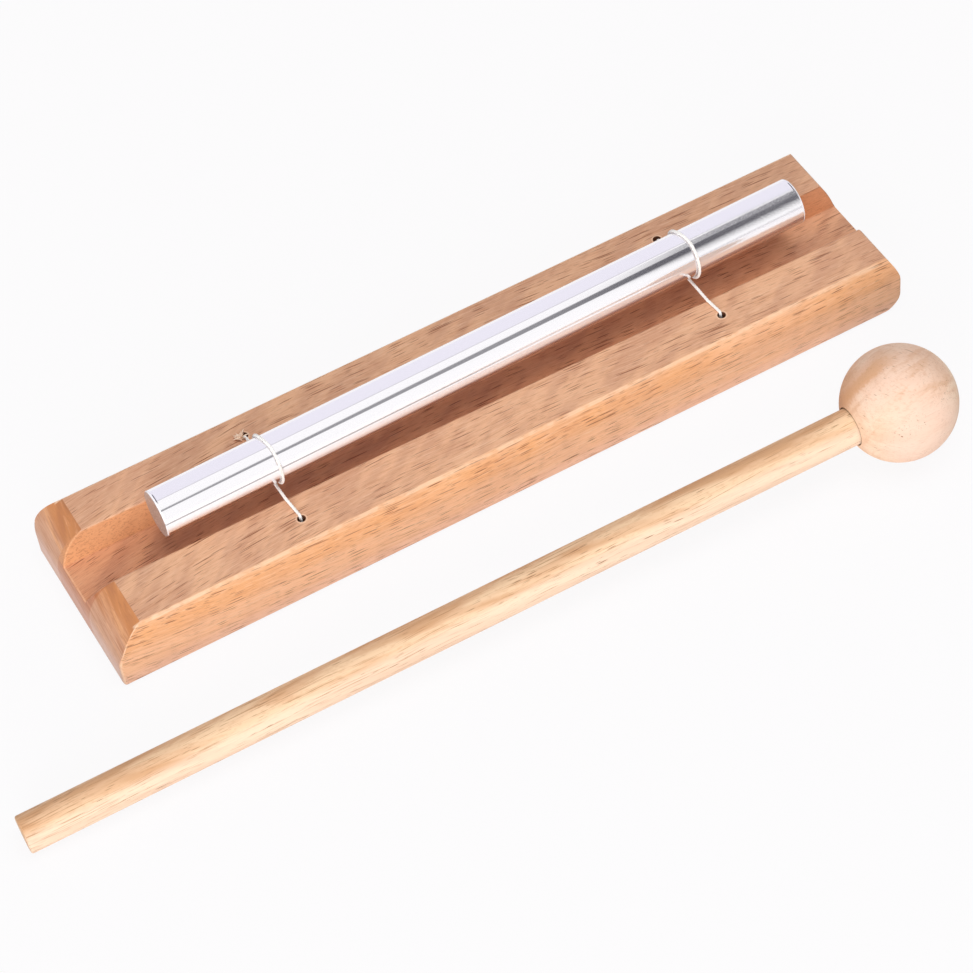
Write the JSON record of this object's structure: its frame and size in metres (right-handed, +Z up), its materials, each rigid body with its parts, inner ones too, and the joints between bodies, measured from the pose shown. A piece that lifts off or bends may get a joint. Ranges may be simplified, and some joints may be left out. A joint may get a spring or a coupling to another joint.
{
  "type": "chime bar",
  "caption": "Metal chime rod slung on cords over a channelled wooden base, with a wooden ball mallet lying in front.",
  "frame": {"origin": "centre of the flat underside of the base block, on the surface that the part stands on", "axes": "+X along the chime rod towards the end nearer the mallet's ball, +Y away from the mallet, +Z up"},
  "size_m": [0.2228, 0.0874, 0.0261],
  "materials": {
    "beech": "satin lacquer",
    "polished_aluminium": "polished",
    "white_cord": "braided nylon",
    "mallet_wood": "bare, sanded"
  },
  "bodies": {
    "base": {"base_block": "beech", "sling_cord_left": "white_cord", "sling_cord_right": "white_cord"},
    "rod": {"chime_rod": "polished_aluminium"},
    "mallet": {"mallet_ball": "mallet_wood", "mallet_stick": "mallet_wood"}
  },
  "joints": [
    {"name": "rod_roll", "type": "hinge", "parent": "base", "child": "rod", "pos_m": [0.0039, 0.0008, 0.02], "axis": [0.9999, 0.0145, 0], "continuous": true},
    {"name": "mallet_lift", "type": "slide", "parent": "base", "child": "mallet", "axis": [0, 0, 1], "range_m": [0, 0.15]}
  ]
}
